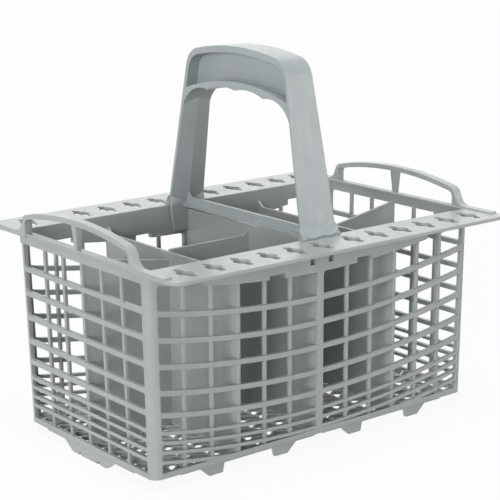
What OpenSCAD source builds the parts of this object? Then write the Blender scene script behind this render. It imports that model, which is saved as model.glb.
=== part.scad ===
// Dishwasher cutlery basket: an open moulded basket with eight compartments,
// a pierced flange along both long sides, a carrying bow at each end and a
// separate handle that clips in at the middle.
// X runs along the basket, Y across it and Z up. The origin is on the ground
// under the middle of the basket.

/* [Overall] */
// Length over the two flanges
overall_l = 240; // [220:1:260]
// Length of the walls at the rim, outside
wall_l = 235; // [220:1:236]
// Depth across the walls at the rim, outside
wall_d = 129.5; // [120:0.5:140]
// Height of the rim above the ground
rim_z = 121; // [116:0.5:130]
// Inward lean of each long wall, in degrees
side_draft = 0.7; // [0.2:0.1:1.2]
// Inward lean of each end wall, in degrees
end_draft = 1.1; // [0.4:0.1:1.6]
// Outside radius of the corner posts
corner_r = 6; // [5:0.5:7]

/* [Wall grid] */
// Depth of the horizontal bars through the wall
bar_t = 2.4; // [2:0.1:3]
// Height of each wide bar
wide_bar_h = 2.9; // [2.4:0.1:3.4]
// Height of each narrow bar
fine_bar_h = 1.9; // [1.5:0.1:2.4]
// Spacing of the wide bars in the upper part
wide_pitch = 14.4; // [13.6:0.1:15]
// Spacing of the bars where the wide ones give way to the narrow ones
mid_pitch = 11.1; // [10:0.1:11.6]
// Spacing of the narrow bars near the floor
fine_pitch = 5.5; // [5:0.1:6]
// Dip of every long bar at mid length
droop = 12.2; // [10:0.1:14]
// Thickness of the upright ribs through the wall
rib_t = 1.8; // [1.5:0.1:2.4]
// Width of an upright rib
rib_w = 2; // [1.6:0.1:2.6]
// Distance of the upright ribs behind the face of the bars
rib_setback = 1.2; // [0.8:0.1:1.6]
// Spacing of the upright ribs on a long wall
side_rib_pitch = 18.2; // [17.4:0.1:18.6]
// Distance from the middle post to the first rib on a long wall
side_first_rib = 20.9; // [19.5:0.1:22]
// Spacing of the upright ribs on an end wall
end_rib_pitch = 19.1; // [18:0.1:20]
// Width of the middle post of a long wall
post_w = 4; // [3:0.2:6]

/* [Rim and flange] */
// Height of the rim band at the corners
rim_h = 6.7; // [5.5:0.1:8]
// Distance that the rim band stands out from the bars
rim_proud = 0.8; // [0.4:0.1:1.2]
// Width of the flange outside each long wall
flange_w = 27.5; // [24:0.5:32]
// Thickness of the flange
flange_t = 2; // [1.6:0.1:2.6]
// Corner radius of the flange
flange_r = 9; // [5:0.5:12]
// Length of a slot in the flange
slot_l = 18; // [14:0.5:21]
// Width of a slot in the flange at its ends
slot_w = 4.2; // [3:0.1:5.5]
// Diameter of the round middle of a slot
slot_eye = 9.4; // [7:0.1:12]
// Spacing of the slots in each group of six
slot_pitch = 18.25; // [17:0.05:18.4]
// Distance from mid length to the nearest slot
slot_first = 11.3; // [10.5:0.1:12]

/* [End bows] */
// Height of an end bow above the rim
bow_h = 16.7; // [13:0.1:20]
// Height that the top of a bow loses towards its corners
bow_sag = 4.6; // [3:0.1:6]
// Half of the outside span of a bow
bow_half = 54.5; // [50:0.5:57]
// Thickness of the bow band
bow_t = 2.9; // [2.4:0.1:3.5]
// Width of the bow band along the basket
bow_w = 5; // [4:0.2:6]

/* [Dividers and floor] */
// Thickness of the dividers
div_t = 1.7; // [1.4:0.1:2.2]
// Distance of the outer cross dividers from mid length
cross_x = 57.3; // [56:0.1:58]
// Height of the middle cross divider
mid_div_z = 117.6; // [116:0.1:118]
// Height of the outer cross dividers
cross_div_z = 110.4; // [108:0.1:112]
// Height of the long divider beside the middle
long_div_z = 111.8; // [110:0.1:113]
// Thickness of the floor ribs
floor_rib_w = 1.4; // [1.1:0.1:1.8]
// Height of the floor ribs
floor_h = 2.6; // [2:0.1:3]
// Spacing of the zigzag floor ribs
floor_pitch = 7.9; // [7:0.1:9]

/* [Feet] */
// Height of the floor's underside above the ground
foot_h = 6.4; // [5:0.1:7]
// Width of the ground face of a long-side foot
foot_w = 9; // [7:0.5:11]
// Distance of the outer feet from mid length
foot_far = 73.5; // [72:0.5:76]
// Thickness of the feet
foot_t = 2.2; // [1.8:0.1:2.6]
// Distance of the inner feet from mid length
foot_near = 27.6; // [25:0.1:30]

/* [Handle] */
// Height of the top of the handle above the ground
handle_z = 222; // [215:1:230]
// Half of the handle's outside span at the rim
handle_half = 63; // [62.8:0.1:63.2]
// Inward slope of the handle legs, as a ratio
leg_slope = 0.19; // [0.17:0.01:0.2]
// Thickness of the edges of a leg
edge_t = 1; // [0.8:0.1:2]
// Thickness of the handle band
band_t = 3.2; // [2.8:0.1:3.6]
// Half width of a leg at the rim
leg_half_w = 12.5; // [11.5:0.1:13]
// Half width of the grip
grip_half_w = 8.7; // [8:0.1:10]
// Height of the grip between its top and the finger scallops
grip_h = 23.9; // [21:0.1:25]
// Thickness of the web inside the grip
web_t = 2.6; // [2:0.1:3.5]
// Clearance round the clip of the handle
clip_gap = 0.3; // [0.2:0.05:0.4]

/* [Hidden] */

moulding_grey = "#aeb6b5";
handle_grey = "#a3acac";
bite = 0.6;
arc_fn = 360;
small_fn = 48;

wall_half_l = wall_l / 2;
wall_half_d = wall_d / 2;
rim_low_z = rim_z - rim_h;
first_bar_z = rim_low_z - 15.2;
wide_bars = [for (i = [0:3]) first_bar_z - i * wide_pitch];
fifth_bar_z = first_bar_z - 3 * wide_pitch - mid_pitch - 1.2;
first_fine_z = fifth_bar_z - mid_pitch + 1.2;
fine_bars = [for (i = [0:3]) first_fine_z - i * fine_pitch];
base_h = 3;
base_top = foot_h + base_h;
side_ribs = [for (i = [0:4]) side_first_rib + i * side_rib_pitch];
end_ribs = [for (i = [-2:2]) i * end_rib_pitch];
rib_depth = rib_setback + rib_t;
slot_y = wall_half_d + flange_w * 0.456;

// The long bars follow one large circle, shifted up and down.
sweep_r = (wall_half_l * wall_half_l + droop * droop) / (2 * droop);

// Half length and half depth of the tapered body at a height.
function half_l(z) = wall_half_l - tan(end_draft) * (rim_z - z);
function half_d(z) = wall_half_d - tan(side_draft) * (rim_z - z);

// Stands a drawing in the XZ plane upright between two depths.
module upright(from, to) {
    translate([0, to, 0])
        rotate([90, 0, 0])
            linear_extrude(to - from)
                children();
}

// Leans a wall that is drawn with its outer face on Y = 0.
module lean_wall(half_span, draft) {
    translate([0, -half_span, rim_z])
        rotate([draft, 0, 0])
            translate([0, 0, -rim_z])
                children();
}

module both_sides() {
    children();
    mirror([0, 1, 0])
        children();
}

module both_ends() {
    children();
    mirror([1, 0, 0])
        children();
}

// Tapered outline of a wall, between two heights.
module wall_outline(end_span, draft, z0, z1) {
    b0 = end_span - tan(draft) * (rim_z - z0);
    b1 = end_span - tan(draft) * (rim_z - z1);
    polygon([[-b0, z0], [b0, z0], [b1, z1], [-b1, z1]]);
}

// A bar that dips at mid length, with its ends at height z.
module drooping_bar(z, h) {
    translate([0, z - droop + sweep_r])
        difference() {
            circle(sweep_r + h / 2, $fn = 4 * arc_fn);
            circle(sweep_r - h / 2, $fn = 4 * arc_fn);
        }
}

module side_bars() {
    inset = corner_r - 1;
    intersection() {
        wall_outline(wall_half_l - inset, end_draft, foot_h, rim_low_z);
        union() {
            for (z = concat(wide_bars, [fifth_bar_z]))
                drooping_bar(z, wide_bar_h);
            for (z = fine_bars)
                drooping_bar(z, fine_bar_h);
        }
    }
    wall_outline(wall_half_l - inset, end_draft, foot_h, base_top);
}

// The rim band of a long wall hangs lower at mid length, like the bars.
module side_rim() {
    inset = corner_r - 1;
    difference() {
        intersection() {
            wall_outline(wall_half_l - inset, end_draft, rim_low_z - droop, rim_z - flange_t / 2);
            translate([0, rim_low_z - droop + sweep_r])
                circle(sweep_r, $fn = 4 * arc_fn);
        }
        rim_notches();
        latch_windows(0);
    }
}

notch_w = 11.2;
notch_h = 2.6;
notch_xs = [31.9, 87];

// Shallow notches in the lower edge of a long rim band.
module rim_notches() {
    for (x = notch_xs, s = [-1, 1])
        translate([s * x - notch_w / 2, rim_low_z - droop])
            square([notch_w, sweep_rise(x) + notch_h]);
}

// Height of a long bar at a distance from mid length, above its lowest point.
function sweep_rise(x) = sweep_r - sqrt(sweep_r * sweep_r - x * x);

latch_x = 6.7;
latch_w = 3.5;
latch_z = 106.8 - 121 + rim_z;
latch_h = 3.9;

// The two windows that take the clips of the handle.
module latch_windows(shrink) {
    for (s = [-1, 1])
        translate([s * latch_x - latch_w / 2 + shrink, latch_z + shrink])
            square([latch_w - 2 * shrink, latch_h - 2 * shrink]);
}

module rib(x, w, z0, z1) {
    translate([x - w / 2, z0])
        square([w, z1 - z0]);
}

module side_ribs_shape() {
    for (x = side_ribs, s = [-1, 1])
        rib(s * x, rib_w, foot_h, rim_low_z - droop + sweep_rise(x) + bite);
}

module side_wall() {
    lean_wall(wall_half_d, side_draft) {
        upright(0, bar_t)
            side_bars();
        upright(-rim_proud, bar_t)
            side_rim();
        upright(rib_setback, rib_depth)
            side_ribs_shape();
        upright(0, rib_depth)
            rib(0, post_w, foot_h, rim_low_z - droop + bite);
    }
    translate([0, foot_inset - half_d(foot_h), 0])
        upright(0, foot_t)
            foot_row();
}

foot_inset = 1;
end_foot_inset = 0.3;
strip_h = 1;
strip_end = 97;
strip_gap = 3;
foot_run = 6;

// The strips and feet below a long wall.
module foot_row() {
    for (s = [-1, 1])
        translate([s * (strip_end + strip_gap) / 2, foot_h - strip_h / 2 + bite / 2])
            square([strip_end - strip_gap, strip_h + bite], center = true);
    for (s = [-1, 1]) {
        side_foot(s * foot_far, s);
        side_foot(s * foot_near, -s);
    }
}

// A foot with one steep and one sloping flank, on the side that slope says.
module side_foot(x, slope) {
    steep = foot_w / 2 + 1.2;
    easy = foot_w / 2 + foot_run;
    left = slope < 0 ? easy : steep;
    right = slope < 0 ? steep : easy;
    polygon([
        [x - left, foot_h + bite],
        [x - left, foot_h - strip_h],
        [x - foot_w / 2, 0],
        [x + foot_w / 2, 0],
        [x + right, foot_h - strip_h],
        [x + right, foot_h + bite]
    ]);
}

module end_bars() {
    inset = corner_r - 1;
    span = 2 * (wall_half_d - inset);
    intersection() {
        wall_outline(wall_half_d - inset, side_draft, foot_h, rim_z);
        union() {
            for (z = concat(wide_bars, [fifth_bar_z]))
                translate([0, z])
                    square([span, wide_bar_h], center = true);
            for (z = fine_bars)
                translate([0, z])
                    square([span, fine_bar_h], center = true);
        }
    }
    wall_outline(wall_half_d - inset, side_draft, foot_h, base_top);
}

end_foot_half = 17;
end_foot_run = 8;
end_slit_y = 9.6;
end_slit_w = 2.4;
end_slit_h = 1.6;
end_strip = 44;

// The strip and the one broad foot below an end wall, with two slits.
module end_foot() {
    difference() {
        union() {
            translate([0, foot_h - strip_h / 2 + bite / 2])
                square([2 * end_strip, strip_h + bite], center = true);
            polygon([
                [-end_foot_half - end_foot_run, foot_h + bite],
                [-end_foot_half - end_foot_run, foot_h - strip_h],
                [-end_foot_half, 0],
                [end_foot_half, 0],
                [end_foot_half + end_foot_run, foot_h - strip_h],
                [end_foot_half + end_foot_run, foot_h + bite]
            ]);
        }
        for (s = [-1, 1])
            translate([s * end_slit_y - end_slit_w / 2, -1])
                square([end_slit_w, 1 + end_slit_h]);
    }
}

lip_h = 1.3;
lip_proud = 0.7;

module end_wall() {
    inset = corner_r - 1;
    rotate([0, 0, -90])
        lean_wall(wall_half_l, end_draft) {
            upright(0, bar_t)
                end_bars();
            upright(-rim_proud, bar_t)
                wall_outline(wall_half_d - inset, side_draft, rim_low_z, rim_z);
            upright(-rim_proud - lip_proud, bar_t + lip_proud)
                wall_outline(wall_half_d - inset, side_draft, rim_z - lip_h, rim_z);
            upright(rib_setback, rib_depth)
                for (y = end_ribs)
                    rib(y, rib_w, foot_h, rim_low_z + bite);
        }
    translate([end_foot_inset - half_l(foot_h), 0, 0])
        rotate([0, 0, -90])
            upright(0, foot_t)
                end_foot();
}

// A quarter tube that leans in with both walls, with its outer top corner at
// the near left of the body.
module corner_piece(r, t, z0, z1) {
    axis_z = z0;
    translate([-half_l(axis_z) + corner_r, -half_d(axis_z) + corner_r, axis_z])
        rotate([side_draft, -end_draft, 0])
            rotate([0, 0, 180])
                rotate_extrude(angle = 90, $fn = 4 * small_fn)
                    translate([r - t, 0])
                        square([t, z1 - z0]);
}

module corner_posts() {
    both_ends()
        both_sides() {
            corner_piece(corner_r - 0.15, bar_t + 0.4, foot_h, rim_z - 0.1);
            corner_piece(corner_r + rim_proud - 0.15, bar_t + rim_proud, rim_low_z, rim_z - 0.1);
        }
}

// Plan of one flange, with round outer corners.
module flange_plan() {
    outer = wall_half_d + flange_w;
    inner = wall_half_d - bar_t;
    half = overall_l / 2;
    translate([-half, -outer + flange_r])
        square([2 * half, outer - flange_r - inner]);
    translate([-half + flange_r, -outer])
        square([2 * (half - flange_r), flange_r + bite]);
    for (s = [-1, 1])
        translate([s * (half - flange_r), -outer + flange_r])
            circle(flange_r, $fn = 2 * small_fn);
}

module slot_plan() {
    circle(slot_eye / 2, $fn = small_fn);
    square([slot_w, slot_l - slot_w], center = true);
    for (s = [-1, 1])
        translate([0, s * (slot_l - slot_w) / 2])
            circle(slot_w / 2, $fn = small_fn);
}

module flange() {
    translate([0, 0, rim_z - flange_t])
        linear_extrude(flange_t)
            difference() {
                flange_plan();
                for (i = [0:5], s = [-1, 1])
                    translate([s * (slot_first + i * slot_pitch), -slot_y])
                        slot_plan();
            }
}

bow_r = ((bow_half - 8) * (bow_half - 8) + bow_sag * bow_sag) / (2 * bow_sag);
bow_corner = 6;

// Solid outline of a bow in the YZ plane, shrunk by a distance.
module bow_outline(inward) {
    offset(r = bow_corner - inward)
        offset(delta = -bow_corner)
            intersection() {
                translate([0, rim_z + bow_h - bow_r])
                    circle(bow_r, $fn = 2 * arc_fn);
                translate([-bow_half, rim_z - 3 * bow_corner])
                    square([2 * bow_half, bow_h + 4 * bow_corner]);
            }
}

sweep_foot = 7;

// The outward sweep of a bow's leg into the end of the flange.
module bow_sweep() {
    difference() {
        translate([bow_half - bite, rim_z - flange_t])
            square([sweep_foot + bite, sweep_foot + flange_t]);
        translate([bow_half + sweep_foot, rim_z + sweep_foot + 0.8])
            circle(sweep_foot, $fn = small_fn);
        translate([bow_half + sweep_foot - bite, rim_z + 0.8])
            square([2 * bite, sweep_foot]);
    }
}

module bow_band() {
    difference() {
        intersection() {
            bow_outline(0);
            translate([-bow_half, rim_z - flange_t])
                square([2 * bow_half, 2 * bow_h]);
        }
        bow_outline(bow_t);
    }
    for (s = [-1, 1])
        scale([s, 1])
            bow_sweep();
}

strut_top = 4.4;
strut_foot = 2.6;

// The middle strut of a bow, tapered towards the rim both ways.
module bow_strut(x_mid) {
    top = rim_z + bow_h - bow_t + bite;
    intersection() {
        upright(-strut_top / 2, strut_top / 2)
            polygon([
                [x_mid - strut_foot / 2, rim_z - bite],
                [x_mid + strut_foot / 2, rim_z - bite],
                [x_mid + bow_w / 2, top],
                [x_mid - bow_w / 2, top]
            ]);
        rotate([0, 0, 90])
            upright(-x_mid - bow_w, -x_mid + bow_w)
                polygon([
                    [-strut_foot / 2, rim_z - bite],
                    [strut_foot / 2, rim_z - bite],
                    [strut_top / 2, top],
                    [-strut_top / 2, top]
                ]);
    }
}

// The raised border along the end of each flange, which carries on the bow.
module flange_border() {
    from = bow_half + sweep_foot - bite;
    to = wall_half_d + flange_w - flange_r;
    translate([overall_l / 2 - bow_w, from, rim_z - flange_t])
        cube([bow_w, to - from, flange_t + 0.8]);
}

module end_bow() {
    x_mid = overall_l / 2 - bow_w / 2;
    rotate([0, 0, 90])
        upright(-overall_l / 2, -overall_l / 2 + bow_w)
            bow_band();
    bow_strut(x_mid);
    both_sides()
        flange_border();
}

// A plate across the basket, with its top edge curling up at both walls.
module cross_divider(x, top, curl) {
    z0 = foot_h;
    translate([x, 0, 0])
        rotate([0, 0, 90])
            upright(-div_t / 2, div_t / 2)
                difference() {
                    polygon([
                        [-half_d(z0) + rib_setback, z0],
                        [half_d(z0) - rib_setback, z0],
                        [half_d(top + curl) - rib_setback, top + curl],
                        [-half_d(top + curl) + rib_setback, top + curl]
                    ]);
                    curl_cut(half_d(top) - rib_depth - 0.4, top, curl);
                }
}

// Cuts the space between two curled-up ends.
module curl_cut(reach, top, curl) {
    if (curl > 0) {
        r = 1.6 * curl;
        translate([-reach + r, top])
            square([2 * (reach - r), 4 * curl]);
        for (s = [-1, 1])
            translate([s * (reach - r), top + r])
                circle(r, $fn = small_fn);
        translate([-reach, top + r])
            square([2 * reach, 4 * curl]);
    }
}

clip_y = half_d(rim_low_z - droop) - bar_t - clip_gap;
tongue_t = 2.4;
tongue_z = rim_z - 16.4;

// The middle divider makes room at both ends for the handle's clip.
module middle_divider() {
    room = clip_y - tongue_t - clip_gap;
    difference() {
        cross_divider(0, mid_div_z, 0);
        both_sides()
            translate([-div_t, room, tongue_z - clip_gap])
                cube([2 * div_t, wall_half_d, rim_z]);
    }
}

outer_div_drop = 0.17;
outer_div_z = 115.6 - 121 + rim_z;

// The long divider: it slopes down from each end wall to the cross divider,
// and runs level from there to a curl at the middle.
module long_divider() {
    curl = 5;
    reach = half_l(long_div_z) - rib_setback;
    foot = half_l(foot_h) - rib_setback;
    level = long_div_z;
    low = outer_div_z - outer_div_drop * (reach - cross_x);
    both_ends() {
        upright(-div_t / 2, div_t / 2)
            polygon([
                [cross_x - bite, foot_h],
                [foot, foot_h],
                [reach, outer_div_z],
                [cross_x - bite, low]
            ]);
        upright(-div_t / 2, div_t / 2)
            difference() {
                translate([-bite, foot_h])
                    square([cross_x + bite, level + curl - foot_h]);
                translate([curl + 1, level + curl])
                    circle(curl, $fn = small_fn);
                translate([curl + 1, level])
                    square([cross_x, 2 * curl]);
                translate([-2 * bite, level + curl - 0.01])
                    square([cross_x, curl]);
            }
    }
}

zig_half = 7.3;
zig_rise = 5.2;

// One zigzag rib of the floor, as a closed outline.
module zigzag(y, reach) {
    n = ceil(reach / zig_half);
    lift = floor_rib_w / cos(atan(zig_rise / zig_half)) / 2;
    low = [for (i = [-n:n]) [i * zig_half, y + (i % 2 == 0 ? 0 : zig_rise) - lift]];
    high = [for (i = [n:-1:-n]) [i * zig_half, y + (i % 2 == 0 ? 0 : zig_rise) + lift]];
    polygon(concat(low, high));
}

tie_xs = [for (i = [-7:7]) i * 2 * zig_half];

module floor_mesh() {
    reach_l = half_l(foot_h) - rib_setback;
    reach_d = half_d(foot_h) - rib_setback;
    rows = floor(reach_d / floor_pitch);
    translate([0, 0, foot_h])
        linear_extrude(floor_h)
            intersection() {
                square([2 * reach_l, 2 * reach_d], center = true);
                union() {
                    for (i = [-rows - 1:rows])
                        zigzag((i + 0.5) * floor_pitch - zig_rise / 2, reach_l);
                    for (x = tie_xs)
                        translate([x - floor_rib_w / 2, -reach_d])
                            square([floor_rib_w, 2 * reach_d]);
                }
            }
}

module basket() {
    color(moulding_grey) {
        both_sides() {
            side_wall();
            flange();
        }
        both_ends() {
            end_wall();
            end_bow();
            cross_divider(-cross_x, cross_div_z, 3.2);
        }
        corner_posts();
        middle_divider();
        long_divider();
        floor_mesh();
    }
}

top_r = 185;
handle_corner = 13;

// Centre of the circle of radius r that rounds the corner between a leg, half
// apart at the rim, and the arc over the top.
function corner_at(half, top_z, arc_r, r) =
    let (
        k = half - r * sqrt(1 + leg_slope * leg_slope),
        m = top_z - arc_r - rim_z,
        a = 1 + leg_slope * leg_slope,
        b = k * leg_slope + m,
        c = k * k + m * m - (arc_r - r) * (arc_r - r),
        rise = (b + sqrt(b * b - a * c)) / a
    )
    [k - leg_slope * rise, rim_z + rise];

// An arch in the YZ plane with sloping legs, round corners and a curved top.
module arch(half, low_z, top_z, arc_r, r) {
    corner = corner_at(half, top_z, arc_r, r);
    lean = atan(leg_slope);
    touch = corner + r * [cos(lean), sin(lean)];
    fan = arc_r / (arc_r - r);
    crown = [0, top_z - arc_r];
    tip = crown + fan * (corner - crown);
    low = half + leg_slope * (rim_z - low_z);
    polygon([
        [-low, low_z], [low, low_z], touch, corner, [-corner[0], corner[1]], [-touch[0], touch[1]]
    ]);
    for (s = [-1, 1])
        translate([s * corner[0], corner[1]])
            circle(r, $fn = 2 * small_fn);
    intersection() {
        translate(crown)
            circle(arc_r, $fn = 2 * arc_fn);
        polygon([crown, [1.1 * tip[0], crown[1] + 1.1 * (tip[1] - crown[1])],
            [-1.1 * tip[0], crown[1] + 1.1 * (tip[1] - crown[1])]]);
    }
}

module handle_outline() {
    arch(handle_half, rim_z, handle_z, top_r, handle_corner);
}

palm_r = 20;
palm_y = 31;
palm_z = handle_z - 26.5;
finger_r = 42.7;
finger_y = 9.7;

// The open space under the grip: a wide palm arch with two finger scallops.
module hand_space() {
    inside = handle_half - edge_t * sqrt(1 + leg_slope * leg_slope);
    spring = palm_z - palm_r;
    at_spring = inside - leg_slope * (spring - rim_z);
    below = inside + leg_slope * rim_z;
    polygon([[-below, 0], [below, 0], [at_spring, spring], [-at_spring, spring]]);
    translate([-palm_y, spring - bite])
        square([2 * palm_y, palm_r + bite - 1]);
    for (s = [-1, 1]) {
        translate([s * palm_y, spring])
            circle(palm_r, $fn = 2 * arc_fn);
        translate([s * finger_y, handle_z - grip_h - finger_r])
            circle(finger_r, $fn = 2 * arc_fn);
    }
}

recess_wall = 2.5;
recess_top = 3.9;
recess_corner = 11;
recess_floor_r = 150;
grip_band = 4.2;

// The hollow on each face of the grip.
module grip_recess(lift) {
    difference() {
        arch(handle_half - recess_wall, handle_z - 2 * grip_h, handle_z - recess_top, top_r, recess_corner);
        translate([0, handle_z - grip_h + grip_band + lift - recess_floor_r])
            circle(recess_floor_r, $fn = 2 * arc_fn);
        translate([-handle_half, rim_z])
            square([2 * handle_half, handle_z - 2 * grip_h - rim_z + bite]);
    }
}

// Everything between two heights that is inside the tapered width.
module taper_limit() {
    low = rim_z;
    rise = handle_z - rim_z;
    upright(-2 * handle_half, 2 * handle_half)
        polygon([
            [-leg_half_w, low],
            [leg_half_w, low],
            [grip_half_w - 0.2, low + rise + 1],
            [-grip_half_w + 0.2, low + rise + 1]
        ]);
}

// The shallow ridge down the inside of each leg, thickest along its middle.
module leg_ridge() {
    lean = atan(leg_slope);
    up = (palm_z - 5 - rim_z) / cos(lean);
    reach = leg_half_w + 3;
    translate([0, handle_half, rim_z])
        rotate([lean, 0, 0])
            linear_extrude(up)
                polygon([
                    [-reach, -edge_t / 2],
                    [-reach, -edge_t - 0.1],
                    [0, -band_t],
                    [reach, -edge_t - 0.1],
                    [reach, -edge_t / 2]
                ]);
}

module along_x(half) {
    rotate([0, 0, 90])
        upright(-half, half)
            children();
}

module handle_bow() {
    intersection() {
        taper_limit();
        union() {
            both_sides()
                leg_ridge();
            grip_and_legs();
        }
    }
}

module grip_and_legs() {
    difference() {
        along_x(leg_half_w + 1)
            difference() {
                handle_outline();
                hand_space();
            }
        for (s = [-1, 1])
            translate([s * (web_t / 2 + leg_half_w), 0, 0])
                along_x(leg_half_w)
                    grip_recess(0);
        for (s = [-1, 1])
            translate([s * (web_t / 2 + 1 + leg_half_w), 0, 0])
                along_x(leg_half_w)
                    grip_recess(-bite);
    }
}

foot_lip_h = 5;
foot_lip_out = 2.6;

// The flared lip that sits on the flange.
module foot_lip() {
    half = leg_half_w + 0.8;
    y0 = handle_half - leg_slope * foot_lip_h - edge_t / 2;
    rotate([0, 0, 90])
        upright(-half, half)
            polygon([
                [y0, rim_z],
                [handle_half + foot_lip_out, rim_z],
                [handle_half + foot_lip_out, rim_z + 1.4],
                [y0, rim_z + foot_lip_h]
            ]);
}

// The tongue inside the rim, with a clip in each latch window.
module clip_tongue() {
    half = leg_half_w;
    blend = 7;
    inner = clip_y - tongue_t;
    intersection() {
        along_x(half + 1)
            polygon([
                [inner, tongue_z],
                [clip_y, tongue_z],
                [clip_y, rim_z + 1],
                [handle_half - leg_slope * blend - edge_t, rim_z + blend],
                [inner, rim_z]
            ]);
        upright(0, 2 * handle_half)
            polygon([
                [-half + 2, tongue_z],
                [half - 2, tongue_z],
                [half, rim_z - flange_t],
                [half, rim_z],
                [half - 0.5, rim_z + 2 * blend],
                [-half + 0.5, rim_z + 2 * blend],
                [-half, rim_z],
                [-half, rim_z - flange_t]
            ]);
    }
    translate([0, clip_y - bite, 0])
        upright(0, bite + bar_t * 0.7)
            latch_windows(clip_gap);
}

rail_w = 8;
rail_t = 1.5;
rail_top = rim_z + 4.2;

// The cross rail between the legs, an upturned T in section.
module rail() {
    reach = handle_half - band_t / 2 - 0.6;
    translate([-rail_w / 2, -reach, rim_z - rail_t])
        cube([rail_w, 2 * reach, rail_t]);
    along_x(0.9)
        difference() {
            translate([-reach, rim_z - rail_t])
                square([2 * reach, rail_top - rim_z + rail_t + 4]);
            translate([-reach + 6, rail_top])
                square([2 * (reach - 6), 8]);
            for (s = [-1, 1])
                translate([s * (reach - 6), rail_top + 4])
                    circle(4, $fn = small_fn);
        }
}

module handle() {
    color(handle_grey) {
        handle_bow();
        both_sides() {
            foot_lip();
            clip_tongue();
        }
        rail();
    }
}

basket();
handle();
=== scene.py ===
"""Looks of a dishwasher cutlery basket: an open moulded basket and its clip-in handle, both in
satin grey plastic, on a plain white floor in soft light."""

import math

import bmesh
import bpy
from mathutils import Matrix, Vector


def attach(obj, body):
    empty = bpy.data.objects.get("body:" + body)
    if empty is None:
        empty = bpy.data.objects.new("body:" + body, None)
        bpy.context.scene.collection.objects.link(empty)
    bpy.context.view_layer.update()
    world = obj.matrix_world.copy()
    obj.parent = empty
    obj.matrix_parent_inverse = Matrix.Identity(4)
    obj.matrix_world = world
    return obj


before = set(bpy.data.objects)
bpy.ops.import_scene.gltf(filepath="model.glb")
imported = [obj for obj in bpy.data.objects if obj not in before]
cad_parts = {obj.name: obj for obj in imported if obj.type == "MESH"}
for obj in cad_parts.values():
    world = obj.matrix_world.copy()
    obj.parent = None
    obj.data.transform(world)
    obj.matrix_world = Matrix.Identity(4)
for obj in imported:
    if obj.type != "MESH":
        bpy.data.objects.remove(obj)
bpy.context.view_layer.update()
BODY = "root"
MM = 0.001

bl_info = {
    "name": "Cutlery basket looks",
    "version": (1, 0, 0),
    "blender": (4, 5, 0),
    "location": "View3D > Sidebar > Basket",
    "description": "Finishes the moulded basket and its handle, and sets up the floor, light and camera",
    "category": "Object",
}


# Sizes of the walls

class WallSettings(bpy.types.PropertyGroup):
    """Sizes of the open walls, from which the rounded window corners are placed."""

    rim_z: bpy.props.FloatProperty(
        name="Rim height", description="Height of the rim above the ground",
        default=121 * MM, unit="LENGTH")
    half_l: bpy.props.FloatProperty(
        name="Half length", description="Half the length of the walls at the rim",
        default=117.5 * MM, unit="LENGTH")
    half_d: bpy.props.FloatProperty(
        name="Half depth", description="Half the depth across the walls at the rim",
        default=64.75 * MM, unit="LENGTH")
    side_draft: bpy.props.FloatProperty(
        name="Side draft", description="Inward lean of each long wall",
        default=math.radians(0.7), unit="ROTATION")
    end_draft: bpy.props.FloatProperty(
        name="End draft", description="Inward lean of each end wall",
        default=math.radians(1.1), unit="ROTATION")
    post_r: bpy.props.FloatProperty(
        name="Corner post", description="Outside radius of the corner posts",
        default=6 * MM, unit="LENGTH")
    middle_post: bpy.props.FloatProperty(
        name="Middle post", description="Width of the middle post of a long wall",
        default=4 * MM, unit="LENGTH")
    bar_t: bpy.props.FloatProperty(
        name="Bar depth", description="Depth of the bars through the wall",
        default=2.4 * MM, unit="LENGTH")
    droop: bpy.props.FloatProperty(
        name="Dip", description="Dip of every long bar at mid length",
        default=12.2 * MM, unit="LENGTH")
    window_r: bpy.props.FloatProperty(
        name="Window corner", description="Radius of the rounded window corners beside the posts",
        default=1.3 * MM, unit="LENGTH")


class HandleSettings(bpy.types.PropertyGroup):
    """Sizes of the handle's legs, from which the flared lips at their feet are placed."""

    half_span: bpy.props.FloatProperty(
        name="Half span", description="Half of the handle's outside span at the rim",
        default=63 * MM, unit="LENGTH")
    leg_slope: bpy.props.FloatProperty(
        name="Leg slope", description="Inward slope of the legs, as a ratio", default=0.19)
    lip_half_w: bpy.props.FloatProperty(
        name="Lip half width", description="Half the width of a flared lip",
        default=13.3 * MM, unit="LENGTH")
    lip_top: bpy.props.FloatProperty(
        name="Lip top", description="Height above the rim at which a lip leaves the leg",
        default=6.6 * MM, unit="LENGTH")
    lip_drop: bpy.props.FloatProperty(
        name="Lip drop", description="Height of a lip", default=5.3 * MM, unit="LENGTH")
    lip_out: bpy.props.FloatProperty(
        name="Lip flare", description="Distance that a lip flares out from the leg",
        default=3.4 * MM, unit="LENGTH")
    lip_wave: bpy.props.FloatProperty(
        name="Lip wave", description="Height of the waves along the free edge of a lip",
        default=0.4 * MM, unit="LENGTH")
    lip_t: bpy.props.FloatProperty(
        name="Lip thickness", description="Thickness of a lip", default=1 * MM, unit="LENGTH")


class PlasticSettings(bpy.types.PropertyGroup):
    """Colours and surface of the two mouldings."""

    basket_colour: bpy.props.FloatVectorProperty(
        name="Basket colour", description="Base colour of the basket moulding",
        default=(0.285, 0.307, 0.306), size=3, subtype="COLOR", min=0, max=1)
    handle_colour: bpy.props.FloatVectorProperty(
        name="Handle colour", description="Base colour of the handle moulding",
        default=(0.262, 0.288, 0.29), size=3, subtype="COLOR", min=0, max=1)
    roughness: bpy.props.FloatProperty(
        name="Roughness", description="Roughness of the satin faces",
        default=0.33, min=0, max=1, subtype="FACTOR")
    edge_r: bpy.props.FloatProperty(
        name="Edge radius", description="Rounding that moulded edges show in the light",
        default=0.6 * MM, unit="LENGTH")


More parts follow.
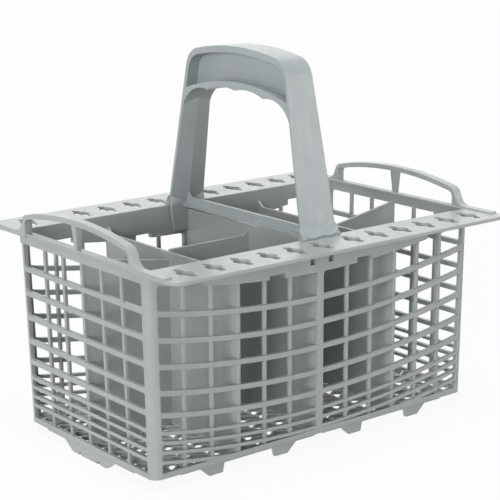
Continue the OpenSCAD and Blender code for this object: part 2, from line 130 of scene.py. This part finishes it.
class StageSettings(bpy.types.PropertyGroup):
    """Floor, light and camera."""

    floor_colour: bpy.props.FloatVectorProperty(
        name="Floor colour", description="Colour of the floor and of the space behind it",
        default=(0.62, 0.62, 0.62), size=3, subtype="COLOR", min=0, max=1)
    floor_r: bpy.props.FloatProperty(
        name="Floor radius", description="Radius of the round floor", default=9, unit="LENGTH")
    ambient: bpy.props.FloatProperty(
        name="Ambient light", description="Strength of the even light from all round",
        default=0.1, min=0)
    camera_place: bpy.props.FloatVectorProperty(
        name="Camera place", description="Position of the camera",
        default=(-559.14 * MM, -709.2 * MM, 322.7 * MM), size=3, subtype="TRANSLATION")
    camera_turn: bpy.props.FloatVectorProperty(
        name="Camera turn", description="Azimuth, elevation and roll of the camera",
        default=(math.radians(-38.285), math.radians(13.722), math.radians(-0.618)),
        size=3, subtype="EULER")
    camera_lens: bpy.props.FloatProperty(
        name="Lens", description="Focal length on a 36 mm sensor", default=114.14, min=1)


# Materials

# Texture scales are in repeats to the metre.
CLOUD_SCALE = 22
STREAK_SCALE = 260
STREAK_STRETCH = 0.16
GRAIN_SCALE = 1500
SINK_SCALE = 48
CLOUD_DARK, CLOUD_LIGHT = 0.95, 1.04
STREAK_SHADE = (0.93, 0.935, 0.935, 1)
STREAK_SHARE = 0.6
EDGE_FLAT, EDGE_SHARP = 0.995, 0.8
# Painted highlight: the edges' colour is lightened by this factor, at this share, as if light caught
# them.
EDGE_HIGHLIGHT_LIFT = 1.4
EDGE_HIGHLIGHT_SHARE = 0.5
EDGE_POLISH = -0.1
ROUGH_DOWN, ROUGH_UP = 0.05, 0.07
SINK_DEPTH = 1.2 * MM
GRAIN_DEPTH = 0.06 * MM
PLASTIC_IOR = 1.5


def link_new(tree, kind, links=None, **values):
    """A new shader node, with the links and fixed values that go into its sockets."""
    made = tree.nodes.new("ShaderNode" + kind)
    for name, value in values.items():
        setattr(made, name, value)
    for socket, source in (links or {}).items():
        if isinstance(source, bpy.types.NodeSocket):
            tree.links.new(source, made.inputs[socket])
        else:
            made.inputs[socket].default_value = source
    return made


def scaled(colour, factor):
    """The colour, lighter or darker, as a value for a colour socket."""
    return (*(min(1, c * factor) for c in colour), 1)


def moulded_plastic(name, colour, settings):
    """Satin moulded plastic: cloudy tint, flow streaks, a fine grain, faint sink marks, and edges
    that are rounder and smoother than the faces, with a painted highlight that makes them paler."""
    material = bpy.data.materials.new(name)
    material.use_nodes = True
    tree = material.node_tree
    tree.nodes.clear()
    place = link_new(tree, "TexCoord").outputs["Object"]

    cloud = link_new(tree, "TexNoise", {"Vector": place, "Scale": CLOUD_SCALE, "Detail": 4,
                                        "Roughness": 0.55})
    drawn = link_new(tree, "Mapping", {"Vector": place, "Scale": (1, 1, STREAK_STRETCH)})
    streak = link_new(tree, "TexNoise", {"Vector": drawn.outputs[0], "Scale": STREAK_SCALE,
                                         "Detail": 3})
    speck = link_new(tree, "TexNoise", {"Vector": place, "Scale": GRAIN_SCALE, "Detail": 2})

    tint = link_new(tree, "ValToRGB", {"Fac": cloud.outputs["Fac"]})
    tint.color_ramp.elements[0].position = 0.34
    tint.color_ramp.elements[1].position = 0.68
    tint.color_ramp.elements[0].color = scaled(colour, CLOUD_DARK)
    tint.color_ramp.elements[1].color = scaled(colour, CLOUD_LIGHT)
    streaked = link_new(tree, "Mix", data_type="RGBA", blend_type="MULTIPLY")
    streak_tone = link_new(tree, "ValToRGB", {"Fac": streak.outputs["Fac"]})
    streak_tone.color_ramp.elements[0].color = STREAK_SHADE
    streak_tone.color_ramp.elements[1].color = (1, 1, 1, 1)
    tree.links.new(tint.outputs["Color"], streaked.inputs["A"])
    tree.links.new(streak_tone.outputs["Color"], streaked.inputs["B"])
    streaked.inputs["Factor"].default_value = STREAK_SHARE

    round_edge = link_new(tree, "Bevel", {"Radius": settings.edge_r}, samples=6)
    flat_face = link_new(tree, "NewGeometry")
    along = link_new(tree, "VectorMath", {0: round_edge.outputs[0], 1: flat_face.outputs["Normal"]},
                     operation="DOT_PRODUCT")
    edge = link_new(tree, "MapRange", {"Value": along.outputs["Value"], "From Min": EDGE_FLAT,
                                       "From Max": EDGE_SHARP, "To Min": 0, "To Max": 1})
    # Painted highlight: the base colour is lightened along every edge, whatever the light.
    painted_edge_highlight = link_new(tree, "Mix", data_type="RGBA", blend_type="MIX")
    highlight_part = link_new(tree, "Math", {0: edge.outputs[0], 1: EDGE_HIGHLIGHT_SHARE}, operation="MULTIPLY")
    tree.links.new(highlight_part.outputs[0], painted_edge_highlight.inputs["Factor"])
    tree.links.new(streaked.outputs["Result"], painted_edge_highlight.inputs["A"])
    painted_edge_highlight.inputs["B"].default_value = scaled(colour, EDGE_HIGHLIGHT_LIFT)

    rough = link_new(tree, "MapRange", {"Value": streak.outputs["Fac"],
                                        "From Min": 0.3, "From Max": 0.7,
                                        "To Min": settings.roughness - ROUGH_DOWN,
                                        "To Max": settings.roughness + ROUGH_UP})
    polished = link_new(tree, "Math", {0: edge.outputs[0], 1: EDGE_POLISH, 2: rough.outputs[0]},
                        operation="MULTIPLY_ADD")

    sink = link_new(tree, "TexNoise", {"Vector": place, "Scale": SINK_SCALE, "Detail": 1})
    waves = link_new(tree, "Bump", {"Height": sink.outputs["Fac"], "Strength": 0.5,
                                    "Distance": SINK_DEPTH, "Normal": round_edge.outputs[0]})
    grain = link_new(tree, "Bump", {"Height": speck.outputs["Fac"], "Strength": 0.25,
                                    "Distance": GRAIN_DEPTH, "Normal": waves.outputs[0]})

    plastic = link_new(tree, "BsdfPrincipled", {"Base Color": painted_edge_highlight.outputs["Result"],
                                                "Roughness": polished.outputs[0],
                                                "Normal": grain.outputs[0]})
    plastic.inputs["IOR"].default_value = PLASTIC_IOR
    link_new(tree, "OutputMaterial", {"Surface": plastic.outputs[0]})
    return material


def dress(node_name, material):
    """Gives a carried-over CAD node its material in every slot."""
    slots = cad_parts[node_name].data.materials
    if not slots:
        slots.append(material)
    for i in range(len(slots)):
        slots[i] = material


def material_of(name):
    found = bpy.data.materials.get(name)
    if found is None:
        raise RuntimeError(f"the material {name} is made by an earlier step")
    return found


def new_piece(context, name, mesh, material_name):
    """Turns a finished mesh into a piece that moves with the part and has its finish."""
    data = bpy.data.meshes.new(name)
    mesh.to_mesh(data)
    mesh.free()
    data.materials.append(material_of(material_name))
    piece = bpy.data.objects.new(name, data)
    context.scene.collection.objects.link(piece)
    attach(piece, BODY)
    return piece


# Rounded window corners

ARC_STEPS = 6
# A corner piece stays this far behind the faces of its bar, and sinks this far into its edges.
SKIN = 0.05 * MM
BITE = 0.45 * MM
WIDE_H, FINE_H = 2.9 * MM, 1.9 * MM
WIDE_PITCH, MID_PITCH, FINE_PITCH = 14.4 * MM, 11.1 * MM, 5.5 * MM
RIM_H = 6.7 * MM
RIM_TO_FIRST_BAR = 15.2 * MM
BASE_TOP = 9.4 * MM
# The corners under the rim are this much rounder.
RIM_ROUNDER = 2
# The first narrow bar sits this much further from the last wide one.
STEP_DOWN = 1.2 * MM


def bar_rows(walls):
    """Height of each bar's ends, and the bar's own height, from the rim down."""
    first = walls.rim_z - RIM_H - RIM_TO_FIRST_BAR
    fifth = first - 3 * WIDE_PITCH - MID_PITCH - STEP_DOWN
    first_fine = fifth - MID_PITCH + STEP_DOWN
    wide = [first - i * WIDE_PITCH for i in range(4)] + [fifth]
    fine = [first_fine - i * FINE_PITCH for i in range(4)]
    return [(z, WIDE_H) for z in wide] + [(z, FINE_H) for z in fine]


def corner_fillet(mesh, place, u, v, du, dv, radius, depth):
    """One concave corner piece: u, v is the window's sharp corner, and du, dv point into the window."""
    outline = [(u - BITE * du, v - BITE * dv), (u + radius * du, v - BITE * dv)]
    for i in range(ARC_STEPS + 1):
        turn = math.radians(90 * i / ARC_STEPS)
        outline.append((u + radius * du * (1 - math.sin(turn)), v + radius * dv * (1 - math.cos(turn))))
    outline.append((u - BITE * du, v + radius * dv))
    rings = [[mesh.verts.new(place @ Vector((a, y, b))) for a, b in outline]
             for y in (SKIN, depth - SKIN)]
    mesh.faces.new(rings[0])
    mesh.faces.new(reversed(rings[1]))
    for i, start in enumerate(rings[0]):
        after = (i + 1) % len(outline)
        mesh.faces.new((start, rings[1][i], rings[1][after], rings[0][after]))


def lean(half_span, draft, walls):
    """Stands a wall that is drawn with its outer face at depth 0 in its leaning place."""
    return (Matrix.Translation((0, -half_span, walls.rim_z))
            @ Matrix.Rotation(draft, 4, "X")
            @ Matrix.Translation((0, 0, -walls.rim_z)))


def wall_windows(mesh, walls, place, half_span, draft, droop):
    """Rounds the window corners beside both corner posts of one wall, and on a long wall
    also beside its middle post."""
    sweep = (half_span ** 2 + droop ** 2) / (2 * droop) if droop else 0

    def height_at(z, u):
        return z - droop + (sweep - math.sqrt(sweep ** 2 - u ** 2) if droop else 0)

    for side in (-1, 1):
        for into, at_middle in ((-side, False), (side, True)):
            if at_middle and not droop:
                continue
            for z, h in bar_rows(walls):
                reach = walls.middle_post / 2 if at_middle else (
                    half_span - math.tan(draft) * (walls.rim_z - z) - walls.post_r)
                u = side * reach
                v = height_at(z, u)
                if v - h < BASE_TOP:
                    continue
                corner_fillet(mesh, place, u, v + h / 2, into, 1, walls.window_r, walls.bar_t)
                corner_fillet(mesh, place, u, v - h / 2, into, -1, walls.window_r, walls.bar_t)
            low = walls.rim_z - RIM_H
            reach = walls.middle_post / 2 if at_middle else (
                half_span - math.tan(draft) * RIM_H - walls.post_r)
            u = side * reach
            corner_fillet(mesh, place, u, height_at(low, u), into, -1,
                          RIM_ROUNDER * walls.window_r, walls.bar_t)


# Flared lips at the feet of the handle

LIP_COLUMNS = 36
LIP_ROWS = 10
LIP_WAVES = 2.2
LIP_CURL = 1.6
LIP_SQUARENESS = 8
LIP_END_LEFT = 0.985


def flared_lip(mesh, place, handle, rim_z):
    """One curved lip on the outer face of a leg, with a gently waved free edge and round ends."""
    grid = []
    for row in range(LIP_ROWS + 1):
        t = row / LIP_ROWS
        line = []
        for column in range(LIP_COLUMNS + 1):
            s = 2 * column / LIP_COLUMNS - 1
            fullness = math.sqrt(1 - (LIP_END_LEFT * abs(s)) ** LIP_SQUARENESS)
            wave = handle.lip_wave * t * math.cos(LIP_WAVES * math.pi * s)
            above = handle.lip_top - handle.lip_drop * t * fullness + wave
            flare = handle.lip_out * fullness * t ** LIP_CURL
            out = handle.half_span - handle.leg_slope * above + flare
            line.append(mesh.verts.new(place @ Vector((s * handle.lip_half_w, -out, rim_z + above))))
        grid.append(line)
    for upper, lower in zip(grid, grid[1:]):
        for i in range(LIP_COLUMNS):
            mesh.faces.new((lower[i], lower[i + 1], upper[i + 1], upper[i]))


# Operators

class BASKET_OT_finish_basket(bpy.types.Operator):
    """Gives the basket moulding its satin grey plastic."""

    bl_idname = "basket.finish_basket"
    bl_label = "Finish the basket"

    def execute(self, context):
        look = context.scene.basket_plastic
        dress("basket", moulded_plastic("basket_plastic", look.basket_colour, look))
        return {"FINISHED"}


class BASKET_OT_finish_handle(bpy.types.Operator):
    """Gives the handle its slightly darker satin plastic."""

    bl_idname = "basket.finish_handle"
    bl_label = "Finish the handle"

    def execute(self, context):
        look = context.scene.basket_plastic
        dress("handle", moulded_plastic("handle_plastic", look.handle_colour, look))
        return {"FINISHED"}


class BASKET_OT_window_corners(bpy.types.Operator):
    """Rounds the window corners of all four walls beside their posts."""

    bl_idname = "basket.window_corners"
    bl_label = "Round the window corners"

    def execute(self, context):
        walls = context.scene.basket_walls
        mesh = bmesh.new()
        for turn in (0, math.pi):
            about = Matrix.Rotation(turn, 4, "Z")
            wall_windows(mesh, walls, about @ lean(walls.half_d, walls.side_draft, walls),
                         walls.half_l, walls.end_draft, walls.droop)
            across = Matrix.Rotation(turn - math.pi / 2, 4, "Z")
            wall_windows(mesh, walls, across @ lean(walls.half_l, walls.end_draft, walls),
                         walls.half_d, walls.side_draft, 0)
        bmesh.ops.recalc_face_normals(mesh, faces=mesh.faces)
        new_piece(context, "window_corners", mesh, "basket_plastic")
        return {"FINISHED"}


class BASKET_OT_foot_lips(bpy.types.Operator):
    """Adds the waved, flared lip at the foot of each leg of the handle."""

    bl_idname = "basket.foot_lips"
    bl_label = "Add the foot lips"

    def execute(self, context):
        handle = context.scene.basket_handle
        mesh = bmesh.new()
        for turn in (0, math.pi):
            flared_lip(mesh, Matrix.Rotation(turn, 4, "Z"), handle, context.scene.basket_walls.rim_z)
        piece = new_piece(context, "foot_lips", mesh, "handle_plastic")
        skin = piece.modifiers.new("thickness", "SOLIDIFY")
        skin.thickness = handle.lip_t
        skin.offset = -1
        smooth = piece.modifiers.new("smooth", "SUBSURF")
        smooth.levels = smooth.render_levels = 1
        return {"FINISHED"}


# How much of the floor that the camera sees is plain white. The rest keeps the shadow.
FLOOR_WHITE = 0.92

# Each lamp's name, the direction it shines from, its strength and its spread in degrees.
LAMPS = (
    ("left_softbox", (-0.88, -0.44, 0.17), 3.0, 26),
    ("top_softbox", (-0.14, -0.12, 0.98), 3.1, 36),
    ("front_softbox", (0.72, -0.67, 0.14), 0.9, 30),
    ("back_softbox", (0.75, 0.6, 0.3), 0.6, 60),
)


class BASKET_OT_stage(bpy.types.Operator):
    """Sets up the white floor, the soft light and the camera."""

    bl_idname = "basket.stage"
    bl_label = "Set up the stage"

    def execute(self, context):
        stage = context.scene.basket_stage
        self.make_floor(context, stage)
        self.make_world(context, stage)
        self.make_lamps(context)
        self.make_camera(context, stage)
        context.scene.view_settings.view_transform = "Standard"
        return {"FINISHED"}

    @staticmethod
    def seen_directly(tree):
        """1 for what the camera sees, straight or through a mirror or glass, else 0."""
        path = link_new(tree, "LightPath")
        first = link_new(tree, "Math", {0: path.outputs["Is Camera Ray"],
                                        1: path.outputs["Is Glossy Ray"]}, operation="MAXIMUM")
        return link_new(tree, "Math", {0: first.outputs[0],
                                       1: path.outputs["Is Transmission Ray"]}, operation="MAXIMUM")

    def make_floor(self, context, stage):
        mesh = bmesh.new()
        bmesh.ops.create_circle(mesh, cap_ends=True, segments=96, radius=stage.floor_r)
        data = bpy.data.meshes.new("floor")
        mesh.to_mesh(data)
        mesh.free()
        material = bpy.data.materials.new("white_floor")
        material.use_nodes = True
        tree = material.node_tree
        tree.nodes.clear()
        matt = link_new(tree, "BsdfDiffuse", {"Color": (*stage.floor_colour, 1)})
        white = link_new(tree, "Emission", {"Color": (1, 1, 1, 1), "Strength": 1.0})
        share = link_new(tree, "Math", {0: self.seen_directly(tree).outputs[0], 1: FLOOR_WHITE},
                         operation="MULTIPLY")
        both = link_new(tree, "MixShader", {"Fac": share.outputs[0], 1: matt.outputs[0],
                                            2: white.outputs[0]})
        link_new(tree, "OutputMaterial", {"Surface": both.outputs[0]})
        data.materials.append(material)
        floor = bpy.data.objects.new("floor", data)
        context.scene.collection.objects.link(floor)

    def make_world(self, context, stage):
        world = bpy.data.worlds.new("studio")
        context.scene.world = world
        world.use_nodes = True
        tree = world.node_tree
        tree.nodes.clear()
        soft = link_new(tree, "Background", {"Color": (1, 1, 1, 1), "Strength": stage.ambient})
        white = link_new(tree, "Background", {"Color": (1, 1, 1, 1), "Strength": 1.0})
        both = link_new(tree, "MixShader", {"Fac": self.seen_directly(tree).outputs[0],
                                            1: soft.outputs[0], 2: white.outputs[0]})
        link_new(tree, "OutputWorld", {"Surface": both.outputs[0]})

    def make_lamps(self, context):
        for name, towards, strength, spread in LAMPS:
            lamp = bpy.data.lights.new(name, "SUN")
            lamp.energy = strength
            lamp.angle = math.radians(spread)
            holder = bpy.data.objects.new(name, lamp)
            holder.rotation_euler = Vector(towards).to_track_quat("Z", "Y").to_euler()
            holder.location = Vector(towards) * 2
            context.scene.collection.objects.link(holder)

    def make_camera(self, context, stage):
        azimuth, elevation, roll = stage.camera_turn
        back = Vector((math.sin(azimuth) * math.cos(elevation),
                       -math.cos(azimuth) * math.cos(elevation), math.sin(elevation)))
        right = Vector((math.cos(azimuth), math.sin(azimuth), 0))
        up = back.cross(right)
        rolled_right = right * math.cos(roll) + up * math.sin(roll)
        rolled_up = up * math.cos(roll) - right * math.sin(roll)
        lens = bpy.data.cameras.new("camera")
        lens.sensor_width = 36
        lens.lens = stage.camera_lens
        lens.dof.use_dof = False
        camera = bpy.data.objects.new("camera", lens)
        axes = Matrix((rolled_right, rolled_up, back)).transposed().to_4x4()
        camera.matrix_world = Matrix.Translation(stage.camera_place) @ axes
        context.scene.collection.objects.link(camera)
        context.scene.camera = camera


STEPS = (BASKET_OT_finish_basket, BASKET_OT_finish_handle, BASKET_OT_window_corners,
         BASKET_OT_foot_lips, BASKET_OT_stage)


class BASKET_PT_panel(bpy.types.Panel):
    """Lists the steps that dress the basket."""

    bl_idname = "BASKET_PT_panel"
    bl_label = "Cutlery basket"
    bl_space_type = "VIEW_3D"
    bl_region_type = "UI"
    bl_category = "Basket"

    def draw(self, context):
        for step in STEPS:
            self.layout.operator(step.bl_idname)


GROUPS = (("basket_walls", WallSettings), ("basket_handle", HandleSettings),
          ("basket_plastic", PlasticSettings), ("basket_stage", StageSettings))
CLASSES = (*(group for _name, group in GROUPS), *STEPS, BASKET_PT_panel)


def register():
    for made in CLASSES:
        bpy.utils.register_class(made)
    for name, group in GROUPS:
        setattr(bpy.types.Scene, name, bpy.props.PointerProperty(type=group))


def unregister():
    for name, _group in GROUPS:
        delattr(bpy.types.Scene, name)
    for made in reversed(CLASSES):
        bpy.utils.unregister_class(made)


def main():
    register()
    bpy.ops.basket.finish_basket()
    bpy.ops.basket.finish_handle()
    bpy.ops.basket.window_corners()
    bpy.ops.basket.foot_lips()
    bpy.ops.basket.stage()


if __name__ == "__main__":
    main()
